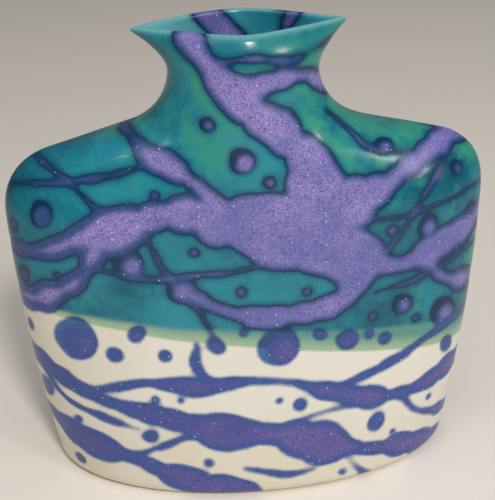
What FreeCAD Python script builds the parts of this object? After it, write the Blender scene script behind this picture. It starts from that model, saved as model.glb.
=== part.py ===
import FreeCAD, Part
import os

import Sketcher

# Pillow vase, press-moulded in stoneware. Two pillow-shaped halves meet face to face on the side seams
# and stand on a base slab with a recessed underside. Flat shoulders sweep up into a short neck, and its
# flared rim is pinched to a point at each seam. Origin at the middle of the foot, front towards -Y.

Vector = FreeCAD.Vector

# Driving dimensions, in millimetres and degrees
driving_dimensions = {
    "vase_height": 109.8,
    "body_width": 110.0,
    "foot_width": 98.2,
    "foot_depth": 49.4,
    "corner_radius": 14.6,
    "shoulder_depth": 31.4,
    "shoulder_slope": 6.8,
    "sweep_radius": 15.3,
    "waist_width": 32.9,
    "waist_depth": 24.9,
    "rim_rise": 9.0,
    "rim_width": 47.4,
    "rim_depth": 21.3,
    "wall_thickness": 3.6,
    "lip_thickness": 2.2,
    "tip_length": 3.8,
    "lip_radius": 0.7,
    "slab_thickness": 5.5,
    "foot_radius": 3.5,
    "foot_ring_width": 4.5,
    "recess_depth": 1.2,
    "cut_margin": 10.0,
}

# Shares of the sizes that they follow. A curve whose handles are 0.552 of its half width and depth is
# close to an ellipse, longer handles fill it out into a pillow, and shorter ones round the shoulders.
round_share = 0.552
pillow_share = 0.615
shoulder_dip_share = 0.12
pinch_lean_share = 0.10
pinch_end_share = 0.10
pinch_face_share = 0.25
taper_power_share = 1.12
fade_power_share = 1.4
flare_power_share = 1.45
pinch_power_share = 1.5

# How many level bands each stretch of the wall is lofted in, outside and inside
outer_bands = {"side": 10, "corner": 6, "sweep": 7, "flare": 5, "lip": 3}
inner_bands = {"side": 12, "corner": 4, "sweep": 8, "flare": 4, "lip": 2}
foot_bands = 3

document = FreeCAD.newDocument("pillow_vase")
sheet = document.addObject("Spreadsheet::Sheet", "size")
for row, (alias, value) in enumerate(driving_dimensions.items(), start=1):
    sheet.set(f"A{row}", alias)
    sheet.set(f"B{row}", str(value))
    sheet.setAlias(f"B{row}", alias)
document.recompute()

# The seam outline, as expressions on the sheet, down from the waist. The sweep's arc starts upright
# there, a sloping line runs from it to the corner's arc, and the side hangs from that and turns in.
half_body = "size.body_width / 2"
half_waist = "size.waist_width / 2"
corner_middle = f"({half_body} - size.corner_radius)"
sweep_middle = f"({half_waist} + size.sweep_radius)"
both_radii = "(size.corner_radius + size.sweep_radius)"
shoulder_run = f"({corner_middle} - {sweep_middle} + {both_radii} * sin(size.shoulder_slope))"
waist_height = "(size.vase_height - size.rim_rise)"
corner_height = (
    f"({waist_height} - {both_radii} * cos(size.shoulder_slope)"
    f" - {shoulder_run} * tan(size.shoulder_slope))"
)
arc_turn = "(90 - size.shoulder_slope)"


def station(height, half_width, half_depth, fullness, lean="0", end_share=None):
    """One level section of the pot, as its height and the reach of the poles of each quarter curve.

    The curve leaves the seam at half_width, heads for end_depth at lean_width, levels out from
    face_width, and crosses the middle of the face at half_depth.
    """
    return {
        "height": height,
        "half_width": half_width,
        "half_depth": half_depth,
        "lean_width": f"({half_width}) * (1 - {lean})",
        "end_depth": f"({half_depth}) * ({end_share or fullness})",
        "face_width": f"({half_width}) * ({fullness})",
    }


def side_station(height, inset="0"):
    """A section of the side, which leans out and turns upright as it fills out and the faces taper in."""
    turned_out = f"(1 - (1 - {height} / {corner_height}) ^ 2)"
    spread = "(size.body_width - size.foot_width) / 2"
    taper = "(size.foot_depth - size.shoulder_depth) / 2"
    risen = f"({height} / {corner_height}) ^ {taper_power_share}"
    return station(
        height,
        f"size.foot_width / 2 + {spread} * {turned_out} - {inset}",
        f"size.shoulder_depth / 2 + {taper} * (1 - {risen}) - {inset}",
        f"({round_share} + ({pillow_share} - {round_share}) * {turned_out})",
    )


def upper_station(height, half_width, inset):
    """A section between the corner's middle and the waist, where the taper fades out.

    The fullness fades too, and dips on the way, most at half the height, so that the shoulders are
    round from front to back.
    """
    left = f"(({waist_height} - {height}) / ({waist_height} - {corner_height}))"
    fade = f"(size.shoulder_depth - size.waist_depth) / 2 * {left} ^ {fade_power_share}"
    dip = f"{shoulder_dip_share} * (4 * {left} * (1 - {left})) ^ 2"
    fullness = f"({round_share} + ({pillow_share} - {round_share}) * {left} - {dip})"
    return station(height, half_width, f"size.waist_depth / 2 + {fade} - {inset}", fullness)


def flare_station(height, inset):
    """A section of the flare, from the round waist to the pinched rim.

    The inset holds how far the section lies within the outer form at the seams and on the faces.
    """
    rise = f"(({height} - {waist_height}) / size.rim_rise)"
    spread = f"(size.rim_width - size.waist_width) / 2 * {rise} ^ {flare_power_share}"
    draw_in = f"(size.rim_depth - size.waist_depth) / 2 * {rise} ^ 2"
    pinched = f"{rise} ^ {pinch_power_share}"
    return station(
        height,
        f"{half_waist} + {spread} - {inset[0]}",
        f"size.waist_depth / 2 + {draw_in} - {inset[1]}",
        f"{round_share} + ({pinch_face_share} - {round_share}) * {pinched}",
        f"{pinch_lean_share} * {pinched}",
        f"{round_share} + ({pinch_end_share} - {round_share}) * {pinched}",
    )


def wall_stations(bands, wall, tip, lip, rounding):
    """Sections from the slab to the lip, a band apart.

    Inside the pot, wall is the inset below the waist, and tip and lip are the insets that it comes
    to at the rim, on the seams and on the faces. Outside the pot they are 0. The rounding is how far
    the lip's edge turns in, and it is less than 0 inside.
    """
    stations = []
    for band in range(bands["side"]):
        rise = f"({corner_height} - size.slab_thickness) * {band / bands['side']}"
        stations.append(side_station(f"(size.slab_thickness + {rise})", wall))
    for band in range(bands["corner"] + 1):
        turned = f"{arc_turn} * {band / bands['corner']}"
        height = f"({corner_height} + (size.corner_radius - {wall}) * sin({turned}))"
        half_width = f"{corner_middle} + (size.corner_radius - {wall}) * cos({turned})"
        stations.append(upper_station(height, half_width, wall))
    for band in range(bands["sweep"], -1, -1):
        turned = f"{arc_turn} * {band / bands['sweep']}"
        height = f"({waist_height} - (size.sweep_radius + {wall}) * sin({turned}))"
        half_width = f"{sweep_middle} - (size.sweep_radius + {wall}) * cos({turned})"
        stations.append(upper_station(height, half_width, wall))
    for band in range(1, bands["flare"] + 1):
        rise = band / bands["flare"]
        height = f"({waist_height} + (size.rim_rise - size.lip_radius) * {rise})"
        insets = [f"({wall} + ({edge} - {wall}) * {rise})" for edge in (tip, lip)]
        stations.append(flare_station(height, insets))
    for band in range(1, bands["lip"] + 1):
        turned = f"90 * {band / bands['lip']}"
        height = f"({waist_height} + size.rim_rise - size.lip_radius * (1 - sin({turned})))"
        insets = [f"({edge} + {rounding} * (1 - cos({turned})))" for edge in (tip, lip)]
        stations.append(flare_station(height, insets))
    return stations


def new_sketch(body, name, plane_role):
    """A sketch on one of the body's own origin planes."""
    sketch = body.newObject("Sketcher::SketchObject", name)
    plane = next(plane for plane in body.Origin.OriginFeatures if plane.Role == plane_role)
    sketch.AttachmentSupport = [(plane, "")]
    sketch.MapMode = "FlatFace"
    return sketch


def bind_distance(sketch, kind, point, side, expression):
    """Holds a point at a bound distance from the sketch's origin, on its positive or negative side."""
    root = (-1, 1)
    ends = (*root, *point) if side > 0 else (*point, *root)
    index = sketch.addConstraint(Sketcher.Constraint(kind, *ends, sketch.evalExpression(expression)))
    sketch.setExpression(f"Constraints[{index}]", expression)


def draw_section(body, name, section):
    """A closed level section: four mirrored quarter curves, each with four poles."""
    sketch = new_sketch(body, name, "XY_Plane")
    sketch.setExpression("AttachmentOffset.Base.z", section["height"])
    reach = {key: sketch.evalExpression(expression) for key, expression in section.items()}
    centre_index = 3
    across_index, along_index = -1, -2
    quarters = []
    for across, along in ((1, -1), (-1, -1), (-1, 1), (1, 1)):
        poles = [
            Vector(across * reach["half_width"], 0),
            Vector(across * reach["lean_width"], along * reach["end_depth"]),
            Vector(across * reach["face_width"], along * reach["half_depth"]),
            Vector(0, along * reach["half_depth"]),
        ]
        curve = Part.BSplineCurve(poles, None, None, False, len(poles) - 1, None, False)
        quarters.append((across, along, sketch.addGeometry(curve)))
    for across, along, quarter in quarters:
        first = sketch.GeometryCount
        sketch.exposeInternalGeometry(quarter)
        seam, end, face, middle = range(first, first + len(poles))
        sketch.addConstraint(Sketcher.Constraint("PointOnObject", seam, centre_index, across_index))
        bind_distance(sketch, "DistanceX", (seam, centre_index), across, section["half_width"])
        bind_distance(sketch, "DistanceX", (end, centre_index), across, section["lean_width"])
        bind_distance(sketch, "DistanceY", (end, centre_index), along, section["end_depth"])
        bind_distance(sketch, "DistanceX", (face, centre_index), across, section["face_width"])
        bind_distance(sketch, "DistanceY", (face, centre_index), along, section["half_depth"])
        sketch.addConstraint(Sketcher.Constraint("PointOnObject", middle, centre_index, along_index))
        bind_distance(sketch, "DistanceY", (middle, centre_index), along, section["half_depth"])
    return sketch


def loft_through(body, kind, name, stations):
    """A loft through level sections, in straight bands that are short where the outline turns."""
    sketches = [draw_section(body, f"{name}_{n}", section) for n, section in enumerate(stations)]
    loft = body.newObject(kind, name)
    loft.Profile = sketches[0]
    loft.Sections = sketches[1:]
    loft.Ruled = True
    document.recompute()
    return loft


# Front half: the outer form, hollowed, then parted on the seam plane
front_half = document.addObject("PartDesign::Body", "front_half")
front_half.Label = "front_half"
outside = wall_stations(outer_bands, wall="0", tip="0", lip="0", rounding="size.lip_radius")
loft_through(front_half, "PartDesign::AdditiveLoft", "outer_form", outside)
inside = wall_stations(
    inner_bands,
    wall="size.wall_thickness",
    tip="size.tip_length",
    lip="size.lip_thickness",
    rounding="-size.lip_radius",
)
loft_through(front_half, "PartDesign::SubtractiveLoft", "hollow", inside)
uncut_volume = front_half.Shape.Volume

seam_plane = new_sketch(front_half, "seam_plane", "XZ_Plane")
beyond_width = f"{half_body} + size.cut_margin"
beyond_height = f"{waist_height} + size.rim_rise + size.cut_margin"
width, height, margin = (
    seam_plane.evalExpression(text) for text in (beyond_width, beyond_height, "size.cut_margin")
)
corners = [Vector(-width, -margin), Vector(width, -margin), Vector(width, height), Vector(-width, height)]
start_index, finish_index = 1, 2
for corner, following in zip(corners, corners[1:] + corners[:1]):
    seam_plane.addGeometry(Part.LineSegment(corner, following))
for line, direction in enumerate(("Horizontal", "Vertical", "Horizontal", "Vertical")):
    following = (line + 1) % len(corners)
    seam_plane.addConstraint(Sketcher.Constraint("Coincident", line, finish_index, following, start_index))
    seam_plane.addConstraint(Sketcher.Constraint(direction, line))
bottom_index, top_index = 0, 2
bind_distance(seam_plane, "DistanceX", (bottom_index, start_index), -1, beyond_width)
bind_distance(seam_plane, "DistanceX", (bottom_index, finish_index), 1, beyond_width)
bind_distance(seam_plane, "DistanceY", (bottom_index, start_index), -1, "size.cut_margin")
bind_distance(seam_plane, "DistanceY", (top_index, start_index), 1, beyond_height)

parting = front_half.newObject("PartDesign::Pocket", "parting")
parting.Profile = seam_plane
parting.Type = "ThroughAll"
document.recompute()
print("the parting leaves", front_half.Shape.Volume / uncut_volume, "of the wall")

# Rear half: the same moulding, turned about the seam plane
rear_half = document.addObject("Part::Mirroring", "rear_half")
rear_half.Label = "rear_half"
rear_half.Source = front_half
rear_half.Normal = Vector(0, 1, 0)

# Base slab: the lowest stretch of the pot, with a rounded foot and a recess inside the foot ring
base_slab = document.addObject("PartDesign::Body", "base_slab")
base_slab.Label = "base_slab"
foot_stations = []
for band in range(foot_bands + 1):
    turned = f"90 * {band / foot_bands}"
    height = f"(size.foot_radius * (1 - cos({turned})))"
    foot_stations.append(side_station(height, f"size.foot_radius * (1 - sin({turned}))"))
foot_stations.append(side_station("size.slab_thickness"))
loft_through(base_slab, "PartDesign::AdditiveLoft", "slab", foot_stations)
solid_volume = base_slab.Shape.Volume
within_ring = side_station("0", "(size.foot_radius + size.foot_ring_width)")
recess = base_slab.newObject("PartDesign::Pocket", "recess")
recess.Profile = draw_section(base_slab, "recess_outline", within_ring)
recess.Reversed = True
recess.setExpression("Length", "size.recess_depth")
document.recompute()
print("the recess takes", solid_volume - base_slab.Shape.Volume, "cubic millimetres")

# Checks, then one file for each piece
os.makedirs("parts", exist_ok=True)
document.recompute()
for item in document.Objects:
    if {"Invalid", "Error"} & set(item.State):
        raise RuntimeError(f"{item.Label} did not compute: {item.State}")
pieces = [front_half, rear_half, base_slab]
for piece in pieces:
    if piece.Shape.isNull() or not piece.Shape.isValid() or len(piece.Shape.Solids) != 1:
        raise RuntimeError(f"{piece.Label} is not one sound solid")
for piece in pieces:
    piece.Shape.exportStep(f"parts/{piece.Label}.step")
    print(piece.Label, round(piece.Shape.Volume), "cubic millimetres")
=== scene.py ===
import math

import bpy
import numpy as np
from mathutils import Matrix, Vector


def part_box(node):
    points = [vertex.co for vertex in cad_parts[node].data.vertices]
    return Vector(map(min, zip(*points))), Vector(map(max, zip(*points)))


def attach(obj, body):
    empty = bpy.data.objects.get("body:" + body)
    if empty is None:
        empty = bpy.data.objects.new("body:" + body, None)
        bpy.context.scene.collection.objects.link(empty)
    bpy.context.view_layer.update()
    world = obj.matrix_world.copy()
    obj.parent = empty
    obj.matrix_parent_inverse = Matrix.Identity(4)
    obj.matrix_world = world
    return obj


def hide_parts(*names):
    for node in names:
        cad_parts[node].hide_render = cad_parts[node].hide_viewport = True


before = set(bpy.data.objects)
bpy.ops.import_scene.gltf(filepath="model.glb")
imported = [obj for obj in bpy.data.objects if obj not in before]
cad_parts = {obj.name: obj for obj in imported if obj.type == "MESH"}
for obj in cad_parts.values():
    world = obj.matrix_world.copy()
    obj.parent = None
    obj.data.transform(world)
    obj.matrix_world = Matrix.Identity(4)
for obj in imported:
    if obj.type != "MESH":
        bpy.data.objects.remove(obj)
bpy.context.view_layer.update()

# Front wall: one of the two pillow-shaped halves, pressed in stoneware and joined on the side seams. It
# leans out from the foot, tapers front to back, turns over round shoulders and sweeps up into the neck,
# and its rim is pinched to a tip at each seam. Sizes are millimetres until a mesh is made.
MILLIMETRE = 0.001
HALF_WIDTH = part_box("front_half")[1][0] / MILLIMETRE
VASE_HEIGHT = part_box("front_half")[1][2] / MILLIMETRE
SLAB_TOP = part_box("base_slab")[1][2] / MILLIMETRE
HALF_FOOT = 49.1
FOOT_HALF_DEPTH = 24.7
SHOULDER_HALF_DEPTH = 15.7
CORNER_RADIUS = 14.6
SHOULDER_SLOPE = math.radians(6.8)
SWEEP_RADIUS = 15.3
HALF_WAIST = 16.45
WAIST_HALF_DEPTH = 12.45
RIM_RISE = 9.0
RIM_HALF_DEPTH = 10.65
WALL = 3.6
LIP = 2.2
LIP_RADIUS = 1.1
TIP_LENGTH = 3.8
ROUND_SHARE = 0.552
PILLOW_SHARE = 0.615
SHOULDER_DIP, RIDGE_DIP = 0.12, 0.24
PINCH_LEAN, PINCH_END, PINCH_FACE = 0.10, 0.15, 0.25
TAPER_POWER, FADE_POWER, PINCH_POWER = 1.12, 1.4, 1.5

# The pot is pressed by hand, so its left corner is rounder, its left tip is drawn out further, its flare
# opens earlier on the right, its rim bows out more behind, most on the left, and its lip sags in front
CORNER_RADII = {1: 13.95, -1: 15.3}
HALF_RIMS = {1: 23.1, -1: 24.7}
FLARE_POWERS = {1: 1.2, -1: 1.45}
RIM_BOW, REAR_FULLNESS = 0.75, 0.5
RIM_SAG, FRONT_DIP = 0.33, 0.35

# Where the neck runs out on the shoulder it fills up this much on each side, this far from the middle
NECK_FILLS = {1: 0.3, -1: 1.5}
FILL_PLACE, FILL_WIDTH = 27, 7
FILL_RISE, FILL_FALL = 12, 8

# Glaze stands this thick over the clay, and more where it is splashed on
GLAZE_DEPTH = 0.1
SPLASH_DEPTH = 0.09

# Spacing of the level sections outside and inside, steps across counted for less than steps up, the wider
# spacing in the flare, and the points along a section and round the lip
FINE, COARSE = 0.5, 1.7
ACROSS_WEIGHT, FLARE_SPACING = 0.6, 0.8
QUARTER_POINTS, LIP_ROWS = 126, 15

# The skin is eased this many times, less near its top and bottom rows and near the seams
EASE_PASSES, EASE_STEP = 140, 0.25
HOLD_ROWS, HOLD_DEPTH = 40, 6.0

WAIST_HEIGHT = VASE_HEIGHT - RIM_RISE
ARC_TURN = math.pi / 2 - SHOULDER_SLOPE
SIDE_POINTS, ARC_POINTS = 300, 200


def seam_outline(corner_radius, inset):
    """Heights and half widths along one seam from the foot to the waist, dense. The side's half width
    grows as 1 - (1 - rise) squared, then come the corner's arc, a sloping line and the sweep's arc."""
    corner_middle, sweep_middle = HALF_WIDTH - corner_radius, HALF_WAIST + SWEEP_RADIUS
    radii = corner_radius + SWEEP_RADIUS
    run = corner_middle - sweep_middle + radii * math.sin(SHOULDER_SLOPE)
    corner_height = WAIST_HEIGHT - radii * math.cos(SHOULDER_SLOPE) - run * math.tan(SHOULDER_SLOPE)
    rise = np.linspace(0, 1, SIDE_POINTS, endpoint=False)
    side = HALF_FOOT + (HALF_WIDTH - HALF_FOOT) * (1 - (1 - rise) ** 2) - inset
    down = np.linspace(0, ARC_TURN, ARC_POINTS)
    up = down[::-1]
    corner, sweep = corner_radius - inset, SWEEP_RADIUS + inset
    arc_heights = corner_height + corner * np.sin(down), WAIST_HEIGHT - sweep * np.sin(up)
    arc_widths = corner_middle + corner * np.cos(down), sweep_middle - sweep * np.cos(up)
    heights = np.concatenate([corner_height * rise, *arc_heights])
    return heights, np.concatenate([side, *arc_widths]), corner_height


CORNER_HEIGHT = seam_outline(CORNER_RADIUS, 0)[2]
SHOULDER_BLEND, BLEND_POINTS = 8.0, 17

# What each level section's row holds: its height, its half widths and half depth, its curve's handle
# shares at the face, its lean and its end, and the half widths that the face follows
HEIGHT, RIGHT, LEFT, DEEP, FACE, LEAN, END, FOLLOW_RIGHT, FOLLOW_LEFT = range(9)


def body_levels(heights, inset):
    """Level sections below the waist. The depth falls as rise ^ 1.12 up to the corner and fades as
    left ^ 1.4 above it, where the fullness dips by (4 left (1 - left)) squared. The face follows half
    widths averaged over some height."""
    rise = np.minimum(heights / CORNER_HEIGHT, 1)
    left = np.clip((WAIST_HEIGHT - heights) / (WAIST_HEIGHT - CORNER_HEIGHT), 0, 1)
    below = heights < CORNER_HEIGHT
    taper = SHOULDER_HALF_DEPTH + (FOOT_HALF_DEPTH - SHOULDER_HALF_DEPTH) * (1 - rise**TAPER_POWER)
    fade = WAIST_HALF_DEPTH + (SHOULDER_HALF_DEPTH - WAIST_HALF_DEPTH) * left**FADE_POWER
    fill = np.where(below, 1 - (1 - rise) ** 2, left)
    dip = np.where(below, 0, (4 * left * (1 - left)) ** 2)
    share = ROUND_SHARE + (PILLOW_SHARE - ROUND_SHARE) * fill
    face, end = share - SHOULDER_DIP * dip, share - RIDGE_DIP * dip
    window = np.clip(np.minimum(heights, WAIST_HEIGHT - heights), 0, SHOULDER_BLEND)
    around = heights + window * np.linspace(-1, 1, BLEND_POINTS)[:, None]
    outlines = [seam_outline(CORNER_RADII[side], inset)[:2] for side in (1, -1)]
    widths = [np.interp(heights, *outline) for outline in outlines]
    followed = [np.interp(around, *outline).mean(0) for outline in outlines]
    deep = np.where(below, taper, fade) - inset
    return np.stack([heights, *widths, deep, face, np.zeros_like(deep), end, *followed], -1)


def flare_levels(rise, inset_tip, inset_face, facing):
    """Sections of the flare: the half width grows as a power of the rise, earlier on the right, the half
    depth shrinks as rise squared, and the quarter curves pinch towards the seams as rise ^ 1.5, but stay
    fuller on the rear left. facing is -1 in front and 1 behind."""
    widths = []
    for side in (1, -1):
        growth = (HALF_RIMS[side] - HALF_WAIST) * rise ** FLARE_POWERS[side]
        widths.append(HALF_WAIST + growth - inset_tip)
    draw_in = (RIM_HALF_DEPTH + facing * RIM_BOW - WAIST_HALF_DEPTH) * rise**2
    pinch = rise**PINCH_POWER
    face = ROUND_SHARE + (PINCH_FACE - ROUND_SHARE) * pinch
    end = ROUND_SHARE + (PINCH_END - ROUND_SHARE) * pinch
    deep = WAIST_HALF_DEPTH + draw_in - inset_face
    heights = WAIST_HEIGHT + RIM_RISE * rise
    followed = [widths[0], widths[1] * (1 + REAR_FULLNESS * (facing > 0) * pinch)]
    return np.stack([heights, *widths, deep, face, PINCH_LEAN * pinch, end, *followed], -1)


def wall_levels(bottom, insets, spacing, facing):
    """All sections from the bottom to where the lip's round starts, about a spacing apart along the seam.
    insets are those of the wall, the tip and the lip."""
    wall, tip, lip = insets
    heights, widths, _ = seam_outline(CORNER_RADIUS, wall)
    steps = np.hypot(np.diff(heights), ACROSS_WEIGHT * np.diff(widths))
    along = np.concatenate([[0], np.cumsum(steps)])
    start = np.interp(bottom, heights, along)
    stops = np.linspace(start, along[-1], int((along[-1] - start) / spacing), endpoint=False)
    body = body_levels(np.interp(stops, along, heights), wall)
    count = int(RIM_RISE / spacing / FLARE_SPACING)
    rise = np.linspace(0, 1 - LIP_RADIUS / RIM_RISE, count, endpoint=False)
    flare = flare_levels(rise, wall + (tip - wall) * rise, wall + (lip - wall) * rise, facing)
    return np.concatenate([body, flare])


def lip_levels(facing):
    """The lip, turned over in a half circle from the outer edge to the inner."""
    turned = np.linspace(0, math.pi, LIP_ROWS)
    over = 0.5 * (1 - np.cos(turned))
    rise = 1 - LIP_RADIUS / RIM_RISE * (1 - np.sin(turned))
    insets = [GLAZE_DEPTH + (inner - GLAZE_DEPTH) * over for inner in (TIP_LENGTH, LIP)]
    return flare_levels(rise, *insets, facing)


def quarter(turn, levels, side):
    """Each section's cubic quarter curve on one side, at shares turn from 0 on the seam to 1 in the
    middle of the face. Its first handle goes the end share of the depth from the seam and leans in by the
    lean share of the half width. Its second comes level to the face, and is the face share long."""
    columns = (RIGHT, FOLLOW_RIGHT) if side > 0 else (LEFT, FOLLOW_LEFT)
    across, followed = (levels[:, column, None] for column in columns)
    deep, face, lean, end = (levels[:, column, None] for column in (DEEP, FACE, LEAN, END))
    t = turn[None, :]
    hold, first, second, third = (1 - t) ** 3, 3 * (1 - t) ** 2 * t, 3 * (1 - t) * t**2, t**3
    x = side * (across * (hold + (1 - lean) * first) + followed * face * second)
    return x, deep * (end * first + second + third)


def even_turns(count):
    """Shares along a quarter curve that lie evenly along a section at the belly."""
    dense = np.linspace(0, 1, 400)
    across, deep = quarter(dense, body_levels(np.array([CORNER_HEIGHT / 2]), 0), 1)
    length = np.concatenate([[0], np.cumsum(np.hypot(np.diff(across[0]), np.diff(deep[0])))])
    return np.interp(np.linspace(0, length[-1], count), length, dense)


turns = even_turns(QUARTER_POINTS)


def half_rings(levels, facing):
    """Points of one half of every section, from the right seam over the face to the left seam. With share
    as the depth over the half depth, the lip sags as (1 - share) squared behind, and evenly and as share
    squared in front, but not at the right tip. The neck's fill is a bell curve of x."""
    right, left = quarter(turns, levels, 1), quarter(turns, levels, -1)
    x = np.concatenate([right[0], left[0][:, -2::-1]], 1)
    deep = np.concatenate([right[1], left[1][:, -2::-1]], 1)
    heights = levels[:, HEIGHT, None]
    rise = np.clip((heights - WAIST_HEIGHT) / RIM_RISE, 0, 1)
    share = deep / levels[:, DEEP, None]
    loose = (1 - share * (facing > 0)) ** 2
    firm = np.clip(x / HALF_RIMS[1], 0, 1) ** 6
    dip = FRONT_DIP * share**2 * (facing < 0)
    z = heights - rise * (RIM_SAG * np.minimum(loose, 1 - firm) + dip)
    fill = np.exp(-(((np.abs(x) - FILL_PLACE) / FILL_WIDTH) ** 2))
    fill = np.where(x > 0, NECK_FILLS[1], NECK_FILLS[-1]) * fill
    high = np.clip((z - CORNER_HEIGHT) / FILL_RISE, 0, 1) * np.clip((WAIST_HEIGHT - z) / FILL_FALL, 0, 1)
    return np.stack([x, facing * deep, z + fill * high], -1)


def eased(rows):
    """The skin with a quarter of each row's second difference added again and again, which averages it
    with the rows above and below and turns the shoulder over softly. The bottom row, the top row and the
    seams are held."""
    index = np.arange(len(rows))[:, None, None]
    hold = np.clip(np.minimum(index, len(rows) - 1 - index) / HOLD_ROWS, 0, 1)
    hold = hold * np.clip(np.abs(rows[:, :, 1:2]) / HOLD_DEPTH, 0, 1)
    for _ in range(EASE_PASSES):
        step = np.zeros_like(rows)
        step[1:-1] = rows[2:] - 2 * rows[1:-1] + rows[:-2]
        rows = rows + EASE_STEP * hold * step
    return rows


# The splashes: blue glaze trailed, poured and flicked over the dips while they were wet. A trail is a
# chain of points, each with the trail's half width there. An x past a side lies round on the back.
TRAIL_STEP = 0.4
EDGE_WIDTH = 0.5
NARROWEST = 0.5
MELT = 1.3

# Trails sway, shake along their edges and swell by this much, each in waves of about this length
SWAY, SWAY_LENGTH = 0.35, 15.0
SHAKE, SHAKE_LENGTH = 0.1, 5.0
SWELL, SWELL_LENGTH = 0.15, 8.0

# A drop's core lies further in by a share of its offset, and goes no deeper than this and a share of its
# radius
CORE_INSET, CORE_DEPTH, CORE_SHARE = 0.6, 0.5, 0.25

# Distances are worked out within this reach of a stroke, and a far one stands for the rest
REACH, FAR = 6.0, 30.0
PAIRS_AT_ONCE = 4_000_000

# x, z and half width of each broad ribbon's points
ribbons = [
    [(-60, 61, 1.6), (-46, 63.5, 2.6), (-32, 68, 4.6), (-19, 72, 4.0), (-6, 71, 5.0), (8, 67, 9.0),
     (21, 61, 6.4), (33, 56.5, 2.8), (46, 60, 3.6), (60, 66, 2.2)],
    [(-12, 110, 3.4), (-8, 103, 2.8), (0, 95, 4.6), (9, 87, 3.6), (15, 79, 6.2), (13, 69, 6.0)],
    [(-30, 88, 1.6), (-20, 84, 3.2), (-11, 78.5, 2.6), (-7, 71, 4.0)],
    [(60, 82, 2.0), (47, 83, 3.8), (34, 77.5, 2.8), (21, 72, 5.6)],
    [(-33, 67, 3.6), (-38, 58, 2.2), (-46, 52, 3.6), (-60, 47, 2.6)],
    [(24, 58, 5.6), (20, 50.5, 2.8), (9, 47, 3.8), (-5, 49, 2.0), (-15, 53.5, 2.6)],
    [(39, 57.5, 3.4), (44, 51, 2.0), (54, 46.5, 3.4), (62, 46, 2.2)],
    [(60, 94, 3.0), (21, 96, 3.4), (12, 100, 2.0), (4, 100, 3.2), (-3, 98, 3.2)],
]
# Narrow trails over the dips
threads = [
    [(-56, 76, 0.7), (-44, 78, 1.0), (-30, 80.5, 0.9), (-17, 85, 0.8)],
    [(-50, 84, 0.6), (-40, 79, 1.0), (-31, 72, 0.8)],
    [(-24, 69, 1.0), (-20, 60, 0.8), (-13, 50, 0.9), (-9, 42.5, 0.7)],
    [(-36, 60, 0.6), (-22, 57.5, 1.0), (-6, 58.5, 0.8), (4, 60, 1.0)],
    [(24, 69, 1.0), (36, 68, 0.9), (48, 70.5, 0.7), (60, 72, 0.6)],
    [(30, 60, 0.9), (37, 69, 0.8), (45, 79, 1.0)],
    [(28, 50, 0.6), (36, 51.5, 0.9), (48, 55, 0.8), (60, 58, 0.6)],
    [(17, 91, 0.7), (25, 84.5, 1.0), (36, 81, 0.7), (46, 81, 0.6)],
    [(-9, 103, 1.1), (0, 105, 0.8), (9, 104, 1.1), (20, 106, 0.8)],
]
# Poured trails over the cream
pours = [
    [(-62, 37, 1.6), (-51, 33, 3.2), (-38, 27, 1.5), (-24, 23, 2.6), (-9, 19, 4.6), (3, 17, 2.8),
     (13, 14, 5.4), (26, 9.5, 2.4), (38, 6, 3.6), (49, 0, 3.2)],
    [(-40, 28, 0.9), (-26, 31.5, 1.4), (-12, 31, 2.4), (2, 31.5, 0.9), (14, 28.5, 2.0), (25, 24, 3.6),
     (36, 22.5, 1.8), (48, 24.5, 3.2), (60, 27, 1.4)],
    [(17, 27.5, 0.9), (29, 31, 1.3), (40, 35, 0.9), (52, 39, 1.5)],
    [(-60, 20, 1.0), (-50, 16.5, 2.6), (-40, 12.5, 4.4), (-29, 10, 1.8), (-18, 5.5, 3.8), (-4, 0, 4.6)],
    [(-30, 11, 0.7), (-21, 15.5, 1.1), (-11, 19.5, 1.0)],
    [(35, 22, 1.2), (40, 15.5, 0.9), (48, 11.5, 2.2), (60, 10, 3.2)],
    [(-10, 32, 1.0), (-14, 36.5, 1.4), (-13, 41, 0.8)],
    [(18, 13, 1.2), (24, 4, 0.9), (28, -1, 1.8)],
    [(-52, 33, 1.1), (-46, 25, 0.8), (-37, 21.5, 1.2), (-29, 19.5, 0.5)],
    [(4, 18, 0.9), (14, 21.5, 0.7), (24, 23.5, 0.9)],
    [(-4, 8.5, 0.6), (4, 6, 1.3), (13, 6.5, 0.6)],
]
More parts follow.
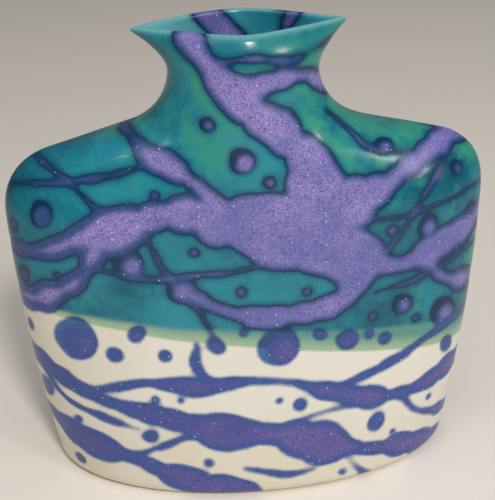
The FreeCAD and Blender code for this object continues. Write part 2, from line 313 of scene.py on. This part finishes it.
# x, z and radius of each pool and drop, and how far its violet core lies off to the side
drops = [
    (6, 67, 9.0, 0), (-31, 68, 5.6, 0), (20, 61, 7.0, 0), (14, 77, 6.8, 0), (40, 57.5, 4.4, 0),
    (-8, 70, 5.8, 0), (-16, 54.5, 3.4, 0.5), (-27.5, 61.5, 3.6, 0.8), (-46, 71.5, 2.9, 0.5),
    (-53, 67.5, 1.5, 0), (-40, 86, 2.2, 0.4), (-52, 56, 2.2, 0.4), (-3, 54, 1.5, 0),
    (40, 64.3, 3.0, 0.7), (51, 65.5, 2.2, 0.4), (31, 65, 1.5, 0), (47, 76, 2.0, 0.4),
    (30, 83.5, 2.5, 0.5), (-2, 84, 2.9, 0.6), (-9, 91, 1.9, 0.3), (4, 79, 1.7, 0.2), (8, 92, 1.1, 0),
    (-44, 57.5, 1.1, 0), (12, 53, 1.2, 0), (-13, 63.5, 1.3, 0), (-21, 76.5, 1.2, 0),
    (-41, 41.5, 5.4, 1.2), (-32.5, 38.5, 2.2, 0.2), (-27, 44.5, 2.3, 0.3), (-9, 41, 2.0, 0.3),
    (5, 40, 5.0, 1.4), (15, 42, 1.6, 0), (20.5, 40, 2.7, 0.4), (26, 40.5, 1.3, 0), (30, 38.5, 1.9, 0.2),
    (34, 46, 2.7, 0.6), (27, 44.5, 1.3, 0), (45, 41.5, 4.0, 1.0), (-21, 39, 1.5, 0), (-52, 42, 1.8, 0),
    (37.5, 41.5, 1.2, 0), (-3, 44.5, 1.0, 0), (-50, 24.5, 3.0, 0.5), (-43, 19, 1.2, 0),
    (10, 24.8, 1.9, 0.2), (4.5, 26, 0.9, 0), (-26, 17.5, 2.1, 0.3), (-24, 27, 1.0, 0),
    (29, 16.5, 2.4, 0.4), (47, 31.5, 2.3, 0.3), (53, 33.5, 1.2, 0), (-44, 6, 1.8, 0.2), (20, 4, 1.2, 0),
    (33, 12, 0.8, 0), (43, 18, 1.0, 0), (-18, 27.5, 0.8, 0), (-12, 10.5, 1.3, 0),
]
# The same lists for the rear face, where the trails go on from the ends that came round the sides
rear_ribbons = [
    [(50, 66, 2.2), (37, 71, 4.2), (22, 69, 6.5), (6, 62, 5.0), (-10, 63, 3.2), (-27, 70, 5.6),
     (-40, 65, 2.8), (-50, 61, 1.6)],
    [(52, 82, 2.0), (39, 80, 3.0), (26, 73, 4.0)],
    [(20, 70, 4.0), (12, 80, 2.8), (9, 90, 3.6), (14, 99, 2.4), (9, 110, 2.0)],
    [(-49, 47, 2.6), (-34, 51, 3.6), (-20, 49, 2.2), (-7, 54, 3.6), (4, 61, 3.0)],
    [(51, 46, 2.2), (36, 49, 3.4), (24, 57, 2.2), (19, 65, 2.8)],
    [(-50, 76, 0.7), (-36, 79, 1.0), (-20, 77, 0.7), (-2, 83, 1.0)],
    [(-30, 62, 0.9), (-18, 57, 0.7), (-3, 46, 1.0), (1, 40, 0.8)],
    [(50, 72, 0.6), (30, 80, 1.0), (16, 91, 0.8)],
]
rear_pours = [
    [(51, 27, 1.4), (36, 23.5, 3.2), (20, 27, 1.6), (4, 22, 4.6), (-14, 24, 2.2), (-30, 31, 3.2),
     (-51, 36, 1.6)],
    [(50, 10, 3.2), (34, 13, 1.6), (20, 9, 4.4), (2, 12, 1.8), (-16, 7, 4.0), (-32, 13, 2.0),
     (-51, 19, 1.0)],
    [(20, 27, 1.2), (10, 33, 1.7), (3, 38, 0.9)],
    [(-16, 24, 1.0), (-26, 17, 1.4), (-33, 13, 0.9)],
]
rear_drops = [
    (22, 69, 7.0, 0), (-27, 70, 6.0, 0), (38, 61, 3.0, 0.6), (-12, 71, 3.2, 0.6), (2, 72, 1.5, 0),
    (-38, 73, 1.8, 0.3), (-22, 41, 4.8, 1.2), (22, 41.5, 3.2, 0.6), (14, 45.5, 1.3, 0),
    (-40, 42, 1.8, 0.2), (-8, 32, 2.2, 0.3), (38, 35, 2.6, 0.4), (-40, 25, 1.6, 0.2),
    (28, 18, 1.8, 0.2), (-4, 16.5, 1.0, 0),
]
# Trails that run over the lip and down inside, as x, height and half width on the inner face
inner_pours = [
    [(-8, 110, 2.8), (-4, 106, 3.2), (2, 101, 2.6)],
    [(12, 110, 1.6), (10, 106, 1.3), (9, 103, 1.6)],
]


def pot_points(places, inset=0.0):
    """Points on the outer form, or an inset behind its face, from x and z: the quarter curve at that
    height is solved for x, and an x past the seam is folded back on the rear side."""
    levels = wall_levels(0.0, (0.0, 0.0, 0.0), 1.0, -1)
    x, heights = places[:, 0], np.clip(places[:, 1], 0, levels[-1, HEIGHT])
    at = np.stack([np.interp(heights, levels[:, HEIGHT], column) for column in levels.T], -1)
    width = np.where(x > 0, at[:, RIGHT], at[:, LEFT])
    behind = np.abs(x) > width
    reach = np.where(behind, np.maximum(2 * width - np.abs(x), 0), np.abs(x))
    at[:, RIGHT] = width
    at[:, FOLLOW_RIGHT] = np.where(x > 0, at[:, FOLLOW_RIGHT], at[:, FOLLOW_LEFT])
    across, deep = quarter(np.linspace(0, 1, 200), at, 1)
    picked = np.arange(len(x)), np.abs(across - reach[:, None]).argmin(1)
    y = (deep[picked] - inset) * np.where(behind, 1, -1)
    return np.stack([np.sign(x) * across[picked], y, places[:, 1]], -1)


def smooth_path(points):
    """A Catmull-Rom curve through the points, sampled a step apart: a cubic between each two points,
    whose slope at a point is half the way from the one before it to the one after."""
    p = np.asarray(points, float)
    p = np.concatenate([[2 * p[0] - p[1]], p, [2 * p[-1] - p[-2]]])
    pieces = []
    for a, b, c, d in zip(p, p[1:], p[2:], p[3:]):
        t = np.linspace(0, 1, max(2, int(np.hypot(*(c - b)[:2]) / TRAIL_STEP)), endpoint=False)[:, None]
        bend = (2 * a - 5 * b + 4 * c - d) * t**2 + (3 * b - a - 3 * c + d) * t**3
        pieces.append(0.5 * (2 * b + (c - a) * t + bend))
    return np.concatenate([*pieces, p[-2][None]])


def melt(one, other):
    """Two distances joined as wet glaze runs together: the lesser, rounded where they come near."""
    blend = np.clip(0.5 + 0.5 * (other - one) / MELT, 0, 1)
    return other + (one - other) * blend - MELT * blend * (1 - blend)


def ripple(points, length, seed):
    """Smooth noise, mostly from -1 to 1: a sum of sine waves of about one length in seeded directions."""
    draw = np.random.default_rng(seed)
    waves = 14
    total = np.zeros(len(points))
    for _ in range(waves):
        way = draw.normal(size=3)
        way *= 2 * math.pi / (length * draw.uniform(0.6, 1.6)) / np.linalg.norm(way)
        total += np.sin(points @ way + draw.uniform(0, 2 * math.pi))
    return total / math.sqrt(waves)


def glaze_distances(points):
    """How far each point is outside the splashes, and outside their violet cores, less than 0 inside: the
    distance to the nearest point of a stroke less its half width there, or to a drop's centre less its
    radius, melted together. The points are swayed by smooth noise first, so that no trail keeps an even
    edge. The lists for the rear are drawn as if in front, with y turned round."""
    swayed = points + SWAY * np.stack([ripple(points, SWAY_LENGTH, seed) for seed in (5, 6, 7)], -1)
    stain, core = np.full(len(points), FAR), np.full(len(points), FAR)
    front, behind = np.array([1, 1, 1]), np.array([1, -1, 1])
    strokes = [(stroke, 0.0, front) for stroke in ribbons + threads + pours]
    strokes += [(stroke, 0.0, behind) for stroke in rear_ribbons + rear_pours]
    strokes += [(stroke, LIP, behind) for stroke in inner_pours]
    for stroke, inset, face in strokes:
        path = smooth_path(stroke)
        line = pot_points(path, inset) * face
        widths = np.maximum(path[:, 2] * (1 + SWELL * ripple(line, SWELL_LENGTH, 11)), NARROWEST)
        margin = widths.max() + REACH
        near = np.flatnonzero(((swayed > line.min(0) - margin) & (swayed < line.max(0) + margin)).all(1))
        for part in np.array_split(near, max(1, len(near) * len(line) // PAIRS_AT_ONCE)):
            gap = (np.linalg.norm(swayed[part, None] - line[None], axis=-1) - widths).min(1)
            stain[part] = melt(stain[part], gap)
            core[part] = melt(core[part], gap + EDGE_WIDTH)
    for spots, face in ((drops, front), (rear_drops, behind)):
        centres = pot_points(np.array(spots)[:, :2]) * face
        for centre, (_, _, radius, off) in zip(centres, spots):
            near = np.flatnonzero((np.abs(swayed - centre) < radius + REACH).all(1))
            stain[near] = melt(stain[near], np.linalg.norm(swayed[near] - centre, axis=1) - radius)
            aside = centre + np.array([off, 0, -off])
            gap = np.linalg.norm(swayed[near] - aside, axis=1) - radius + EDGE_WIDTH + CORE_INSET * off
            core[near] = melt(core[near], np.maximum(gap, -CORE_DEPTH - CORE_SHARE * radius))
    shake = SHAKE * ripple(points, SHAKE_LENGTH, 3)
    return stain + shake, core + 1.5 * shake


def outward(rows, wrap=False):
    """Unit normals of a grid of points, from the cross product of its two directions."""
    padded = np.concatenate([rows[:, -1:], rows, rows[:, :1]], 1) if wrap else rows
    along = np.gradient(padded, axis=1)
    cross = np.cross(along[:, 1:-1] if wrap else along, np.gradient(rows, axis=0))
    return cross / np.maximum(np.linalg.norm(cross, axis=-1, keepdims=True), 1e-12)


def splash_lift(stain):
    """The splashes' own thickness: their full depth times 0.4 - distance / 1.2, kept from 0 to 1, so that
    it rises over about a millimetre at their edge."""
    return SPLASH_DEPTH * np.clip(0.4 - stain / 1.2, 0, 1)


def grid_faces(rows, columns, wrap=False):
    """Four-sided faces between the rows and columns of a grid of points."""
    index = np.arange(rows * columns).reshape(rows, columns)
    if wrap:
        index = np.concatenate([index, index[:, :1]], 1)
    return np.stack([index[:-1, :-1], index[:-1, 1:], index[1:, 1:], index[1:, :-1]], -1).reshape(-1, 4)


def make_piece(name, points, faces, marks, material, node):
    """A closed mesh in metres with smooth faces, sharp only at corners, riding on the root."""
    mesh = bpy.data.meshes.new(name)
    mesh.from_pydata(points * MILLIMETRE, [], faces, shade_flat=False)
    for mark, values in marks.items():
        mesh.attributes.new(mark, "FLOAT", "POINT").data.foreach_set("value", values.astype(np.float32))
    mesh.set_sharp_from_angle(angle=math.radians(50))
    mesh.materials.append(material)
    piece = bpy.data.objects.new(name, mesh)
    bpy.context.scene.collection.objects.link(piece)
    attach(piece, "root")
    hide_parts(node)


# Splashes show down to this depth below the waist inside, and stand proud up to this share of the flare
SPLASHED_INSIDE = 8
PROUD_SHARE = 0.8


def make_wall(name, facing, node, material):
    """One half: glazed skin, lip and inside, closed on the seams and on the slab with flat faces. The
    mark called within runs from 0 on the skin over the lip to 1 inside."""
    outer = wall_levels(SLAB_TOP, (GLAZE_DEPTH,) * 3, FINE, facing)
    inner = wall_levels(SLAB_TOP, (WALL, TIP_LENGTH, LIP), COARSE, facing)
    skin, edge = eased(half_rings(outer, facing)), half_rings(lip_levels(facing), facing)
    rows = np.concatenate([skin, edge, half_rings(inner[::-1], facing)])
    count, columns = rows.shape[:2]
    flat = rows.reshape(-1, 3)
    stain, core = glaze_distances(flat)
    past_lip = np.repeat(np.arange(count) > len(outer) + LIP_ROWS, columns)
    hidden = past_lip & (flat[:, 2] < WAIST_HEIGHT - SPLASHED_INSIDE)
    stain, core = np.where(hidden, FAR, stain), np.where(hidden, FAR, core)
    normal = outward(rows) * -facing
    normal[:, [0, -1], 1] = 0
    proud = flat[:, 2] < WAIST_HEIGHT + PROUD_SHARE * RIM_RISE
    lifted = flat + normal.reshape(-1, 3) * (splash_lift(stain) * proud)[:, None]
    faces = grid_faces(count, columns)
    index = np.arange(count * columns).reshape(count, columns)
    closing = [index[:, 0][::-1], index[:, -1], np.concatenate([index[0, ::-1], index[-1]])]
    if facing < 0:
        faces, closing = faces[:, ::-1], [loop[::-1] for loop in closing]
    all_faces = faces.tolist() + [loop.tolist() for loop in closing]
    within = np.repeat(np.clip((np.arange(count) - len(outer) + 1) / LIP_ROWS, 0, 1), columns)
    marks = {"stain": stain, "core": core, "within": within}
    make_piece(name, lifted, all_faces, marks, material, node)


class Link:
    """One socket of a material's nodes. Arithmetic on numbers adds Math nodes."""

    def __init__(self, tree, socket=None):
        self.tree = tree
        self.socket = socket

    def add(self, kind, settings=None, inputs=None, output=0):
        """Adds a node: its settings first, then its inputs' values or links, by name or place."""
        node = self.tree.nodes.new(kind)
        for key, value in (settings or {}).items():
            setattr(node, key, value)
        for key, value in (inputs or {}).items():
            if isinstance(value, Link):
                self.tree.links.new(value.socket, node.inputs[key])
            else:
                node.inputs[key].default_value = value
        return Link(self.tree, node.outputs[output])

    def math(self, operation, one, other=0.0):
        """A Math node on one or two values."""
        return self.add("ShaderNodeMath", {"operation": operation}, {0: one, 1: other})

    def __add__(self, other):
        return self.math("ADD", self, other)

    def __mul__(self, other):
        return self.math("MULTIPLY", self, other)

    def __sub__(self, other):
        return self.math("SUBTRACT", self, other)

    def __rsub__(self, other):
        return self.math("SUBTRACT", other, self)

    __radd__ = __add__
    __rmul__ = __mul__

    def ramp(self, low, high):
        """0 up to low, 1 from high, and a smooth step between; falls instead if low is above high."""
        settings = {"interpolation_type": "SMOOTHSTEP", "clamp": True}
        ends = {"From Min": min(low, high), "From Max": max(low, high)}
        step = self.add("ShaderNodeMapRange", settings, {"Value": self, **ends})
        return 1 - step if low > high else step

    def blend(self, under, over):
        """A colour between two, with this as the share of the one over."""
        return self.add("ShaderNodeMix", {"data_type": "RGBA"}, {0: self, 6: under, 7: over}, 2)

    def noise(self, place, scale, detail=2.0, roughness=0.5):
        """Smooth noise around 0.5, with its scale in waves to the metre."""
        inputs = {"Vector": place, "Scale": scale, "Detail": detail, "Roughness": roughness}
        return self.add("ShaderNodeTexNoise", {}, inputs)


def paint(red, green, blue):
    """A colour given as the eye sees it, from 0 to 255, made linear."""
    seen = np.array([red, green, blue]) / 255
    linear = np.where(seen <= 0.04045, seen / 12.92, ((seen + 0.055) / 1.055) ** 2.4)
    return (*linear.tolist(), 1.0)


def glaze_material(name, bare_below=None):
    """The fired glazes in the order they were laid: cream, the pale and teal dips, then the splashes.
    Below the height bare_below, where it is given, the clay is bare."""
    material = bpy.data.materials.new(name)
    material.use_nodes = True
    tree = material.node_tree
    surface = tree.nodes["Principled BSDF"]
    make = Link(tree)
    place = make.add("ShaderNodeTexCoord", output=3)
    x, z = (make.add("ShaderNodeSeparateXYZ", {}, {0: place}, axis) * (1 / MILLIMETRE) for axis in (0, 2))
    stain, core, within = (make.add("ShaderNodeAttribute", {"attribute_name": key}, {}, 2)
                           for key in ("stain", "core", "within"))

    drift = make.noise(place, 40.0, 2.0)
    cloud = make.noise(place, 24.0, 3.0, 0.55)
    patch = make.noise(place, 110.0, 3.0, 0.6)
    mottle = make.noise(place, 420.0, 3.0, 0.6)
    grain = make.noise(place, 2600.0, 2.0, 0.6)

    # The dips: planes that tilt with the way the pot was held. The glaze runs thin and pale over the lip,
    # and part of that paleness is a painted highlight.
    sway = (drift - 0.5) * 2.2 + (mottle - 0.5) * 0.4
    pale_line = z + x * 0.1616 - 39.9 + sway
    teal_line = z + x * 0.103 - 44.1 + sway
    pale = pale_line.ramp(-0.4, 0.5)
    teal = teal_line.ramp(-0.8, 0.9)
    # The cream drifts at random between two tints, and is painted darker and yellower towards the lower
    # left as painted shade
    cream_drift_and_shade = cloud - x * 0.004 - z * 0.006 + 0.1
    cream = cream_drift_and_shade.ramp(0.35, 0.75).blend(paint(218, 215, 205), paint(212, 205, 184))
    sage = pale_line.ramp(0, 4.5).blend(paint(152, 178, 146), paint(84, 140, 134))
    aside = make.math("ABSOLUTE", x)
    # The teal's own tone drifts with noise and grain, and is painted darker towards both sides as shade
    # where the pot turns from the light
    tone_and_side_shade = drift - aside * 0.0055 + 0.09 + (grain - 0.5) * 0.4 + (mottle - 0.5) * 0.3
    shade = tone_and_side_shade.ramp(0.16, 0.7).blend(paint(2, 76, 98), paint(32, 132, 150))
    leaf = cloud + (z - 90.0) * 0.003 + x * 0.0025 + (patch - 0.5) * 0.6 + (mottle - 0.5) * 0.2
    sea = leaf.ramp(0.48, 0.68).blend(shade, paint(50, 140, 122))
    collar = (z + (patch - 0.5) * 3.0).ramp(VASE_HEIGHT - 8, VASE_HEIGHT - 4)
    sea = (collar * 0.55).blend(sea, paint(22, 108, 124))
    # Paler at the lip where the glaze runs thin, and partly a painted highlight along it
    rim = (z + (patch - 0.5) * 2.0).ramp(VASE_HEIGHT - 2.2, VASE_HEIGHT - 0.3)
    sea = (rim * 0.5).blend(sea, paint(84, 156, 160))
    # The inside is painted lighter, most towards the left: painted light where the lamps reach into the
    # mouth
    inside = (x + (patch - 0.5) * 12.0).ramp(8, -14).blend(paint(40, 130, 152), paint(88, 156, 164))
    sea = within.ramp(0.45, 0.75).blend(sea, inside)
    # A pale line over the lip's crest: thin glaze with a painted highlight on it
    crest = within.ramp(0.12, 0.42) * within.ramp(0.85, 0.58)
    sea = (crest * 0.5).blend(sea, paint(130, 190, 188))
    ground = teal.blend(pale.blend(cream, sage), sea)

    # The splashes: a dark edge, a blue body with grains, and a lilac core where the glaze is thick
    fuzz = (grain - 0.5) * 0.25 + (mottle - 0.5) * 0.3
    over = teal.ramp(0.1, 0.9)
    wet = over.blend((stain + fuzz - 0.15).ramp(0.5, -0.6), (stain + fuzz).ramp(0.3, -0.25))
    halo = stain.ramp(1.3, 0.1) * over * 0.45
    ground = halo.blend(ground, paint(8, 66, 88))
    depth = core + (grain - 0.5) * 1.3 + (mottle - 0.5) * 0.7 - (1 - over) * 0.2
    filled = (depth + (1 - over) * stain * 0.4).ramp(0.6, -0.6)
    blotch = (patch - 0.5) * 1.8 + (cloud - 0.5) * 1.4
    # The lilac core is painted smaller towards both sides, most on the left, as painted shade on top of
    # its own depth and blotches
    heart_and_side_shade = (depth + blotch + aside * 0.02 - x * 0.008 - 0.2 + (1 - over) * 0.5).ramp(0.2, -1.7)
    fine = (grain * 0.85 + mottle * 0.15).ramp(0.32, 0.64)
    bloom = (cloud * 0.6 + patch * 0.4).ramp(0.4, 0.6)
    dark = pale * 0.6 + over * 0.4
    edge = dark.blend(paint(58, 98, 150), paint(0, 46, 78))
    body = fine.blend(dark.blend(paint(46, 66, 130), paint(24, 58, 104)), dark.blend(
        paint(66, 88, 154), paint(56, 82, 138)))
    lilac = over.blend(bloom.blend(paint(84, 86, 150), paint(110, 98, 160)), bloom.blend(
        paint(112, 112, 174), paint(156, 140, 198)))
    thick = (0.1 + fine * 0.9).blend(over.blend(paint(58, 60, 132), paint(74, 76, 146)), lilac)
    splash = filled.blend(edge, heart_and_side_shade.blend(body, thick))
    colour = wet.blend(ground, splash)

    # Pale crystals and dark grains that stand in the glaze, most of them in the thick splashes. The pale
    # ones are painted white, partly as crystals and partly as painted glints.
    cells = {"Vector": place, "Scale": 1050.0}
    fleck = make.add("ShaderNodeTexVoronoi", {}, cells)
    lot = make.add("ShaderNodeSeparateColor", {}, {0: make.add("ShaderNodeTexVoronoi", {}, cells, 1)}, 0)
    crystal_and_glint = fleck.ramp(0.2, 0.08) * lot.ramp(0.84, 0.9) * filled
    speck = fleck.ramp(0.22, 0.09) * lot.ramp(0.5, 0.47) * wet
    colour = speck.blend(colour, paint(40, 46, 104))
    colour = crystal_and_glint.blend(colour, paint(222, 224, 240))

    rough = 0.22 + filled * 0.1 - crystal_and_glint * 0.1
    dimple = make.noise(place, 620.0, 1.0) * 0.5 + mottle * 0.5 + grain * filled * 0.35
    bump = make.add("ShaderNodeBump", {}, {"Strength": 0.12, "Distance": 0.0003, "Height": dimple})
    if bare_below is not None:
        clay = z.ramp(bare_below + 0.25, bare_below - 0.25)
        grit = mottle.ramp(0.4, 0.65).blend(paint(196, 176, 146), paint(178, 152, 120))
        colour = clay.blend(colour, grit)
        rough = rough + clay * 0.5
    for key, value in {"Base Color": colour, "Roughness": rough, "Normal": bump}.items():
        tree.links.new(value.socket, surface.inputs[key])
    surface.inputs["IOR"].default_value = 1.42
    return material


wall_glaze = glaze_material("dipped_glaze")
make_wall("front_wall", -1, "front_half", wall_glaze)

# Rear wall: the same moulding turned about the seam plane, pressed in the same stoneware. The dips cover
# it in one skin with the front, and two trails run over its lip and down inside.
make_wall("rear_wall", 1, "rear_half", wall_glaze)

# Base slab: a slab of the same clay that closes the pot below the walls, with a rounded foot, a ring to
# stand on and a recess inside it. The glaze is wiped off where it would touch the kiln shelf.
FOOT_RADIUS = 3.5
FOOT_RING = 4.5
RECESS = 1.2
EDGE = 0.15
BARE_BELOW = 0.7


def make_slab():
    """Whole rings down the side, round the foot in a quarter circle, over the ring and into the
    recess."""
    down = np.linspace(SLAB_TOP, FOOT_RADIUS, 5)[:-1]
    turn = np.linspace(math.pi / 2, 0, 13)
    ring = FOOT_RADIUS + FOOT_RING
    under_heights = [0, EDGE, RECESS - EDGE, RECESS]
    under_insets = [ring - EDGE, ring, ring + EDGE, ring + 2 * EDGE]
    heights = np.concatenate([down, FOOT_RADIUS * (1 - np.cos(turn)), under_heights])
    insets = np.concatenate([np.zeros_like(down), FOOT_RADIUS * (1 - np.sin(turn)), under_insets])
    rows = zip(heights, insets + GLAZE_DEPTH)
    levels = np.concatenate([body_levels(np.array([height]), inset) for height, inset in rows])
    rings = np.concatenate([half_rings(levels, -1), half_rings(levels, 1)[:, -2:0:-1]], 1)
    count, columns = rings.shape[:2]
    points = rings.reshape(-1, 3)
    stain, core = glaze_distances(points)
    lift = splash_lift(stain) * np.clip((points[:, 2] - BARE_BELOW) / FOOT_RADIUS, 0, 1)
    lifted = points - outward(rings, wrap=True).reshape(-1, 3) * lift[:, None]
    index = np.arange(count * columns).reshape(count, columns)
    faces = grid_faces(count, columns, wrap=True).tolist() + [index[0][::-1].tolist(), index[-1].tolist()]
    material = glaze_material("cream_glaze", bare_below=BARE_BELOW)
    marks = {"stain": stain, "core": core}
    make_piece("foot_slab", lifted, faces, marks, material, "base_slab")


make_slab()

# The floor: a plain pale surface, with no part in the object
FLOOR_REACH = 3.0
floor_mesh = bpy.data.meshes.new("floor")
floor_signs = ((-1, -1), (1, -1), (1, 1), (-1, 1))
floor_corners = [(across * FLOOR_REACH, along * FLOOR_REACH, 0) for across, along in floor_signs]
floor_mesh.from_pydata(floor_corners, [], [(0, 1, 2, 3)])
floor = bpy.data.objects.new("floor", floor_mesh)
bpy.context.scene.collection.objects.link(floor)
floor_paint = bpy.data.materials.new("floor_paint")
floor_paint.use_nodes = True
floor_surface = floor_paint.node_tree.nodes["Principled BSDF"]
floor_surface.inputs["Base Color"].default_value = paint(236, 230, 222)
floor_surface.inputs["Roughness"].default_value = 0.8
floor_mesh.materials.append(floor_paint)


# The light: a soft key and a broad fill from above in front, a small lamp on each side, and a pale room
def soft_light(name, azimuth, elevation, distance, size, power, colour):
    """An area light that faces the middle of the pot, from an azimuth round it and a height above it."""
    lamp = bpy.data.lights.new(name, "AREA")
    lamp.shape, lamp.size, lamp.energy, lamp.color = "DISK", size, power, colour
    light = bpy.data.objects.new(name, lamp)
    turn, lift = math.radians(azimuth), math.radians(elevation)
    away = Vector((math.sin(turn) * math.cos(lift), -math.cos(turn) * math.cos(lift), math.sin(lift)))
    light.location = Vector((0, 0, VASE_HEIGHT * MILLIMETRE / 2)) + away * distance
    light.rotation_mode = "QUATERNION"
    light.rotation_quaternion = (-away).to_track_quat("-Z", "Y")
    bpy.context.scene.collection.objects.link(light)


soft_light("key", 13, 43, 0.8, 0.13, 3.4, (1.0, 0.97, 0.93))
soft_light("side", 48, 24, 0.8, 0.13, 1.0, (1.0, 0.98, 0.95))
soft_light("left", -45, 43, 0.8, 0.08, 0.2, (1.0, 0.98, 0.95))
soft_light("fill", -10, 70, 0.9, 0.9, 2.7, (1.0, 0.98, 0.96))
world = bpy.data.worlds.new("room")
world.use_nodes = True
world.node_tree.nodes["Background"].inputs["Color"].default_value = (0.86, 0.84, 0.82, 1)
world.node_tree.nodes["Background"].inputs["Strength"].default_value = 0.2
bpy.context.scene.world = world
bpy.context.scene.view_settings.view_transform = "Standard"

# The camera: close in, a little left of the middle and looking down on the shoulders
ELEVATION, YAW, ROLL = (math.radians(angle) for angle in (28.2, 4.225, -1.535))
DISTANCE, AIM_ACROSS, AIM_HEIGHT = 0.23512, -0.000098, 0.054773
FOCAL_PIXELS, FRAME_PIXELS, SENSOR = 990.04, 500, 36.0
flat_run = math.cos(ELEVATION)
ahead = Vector((math.sin(YAW) * flat_run, math.cos(YAW) * flat_run, -math.sin(ELEVATION)))
level = Vector((math.cos(YAW), -math.sin(YAW), 0))
upright = level.cross(ahead)
right = level * math.cos(ROLL) + upright * math.sin(ROLL)
above = upright * math.cos(ROLL) - level * math.sin(ROLL)
lens = bpy.data.cameras.new("camera")
lens.sensor_width = SENSOR
lens.lens = FOCAL_PIXELS / FRAME_PIXELS * SENSOR
lens.clip_start = 0.01
camera = bpy.data.objects.new("camera", lens)
axes = Matrix((right, above, -ahead)).transposed()
stand = Vector((AIM_ACROSS, 0, AIM_HEIGHT)) - ahead * DISTANCE
camera.matrix_world = Matrix.Translation(stand) @ axes.to_4x4()
bpy.context.scene.collection.objects.link(camera)
bpy.context.scene.camera = camera
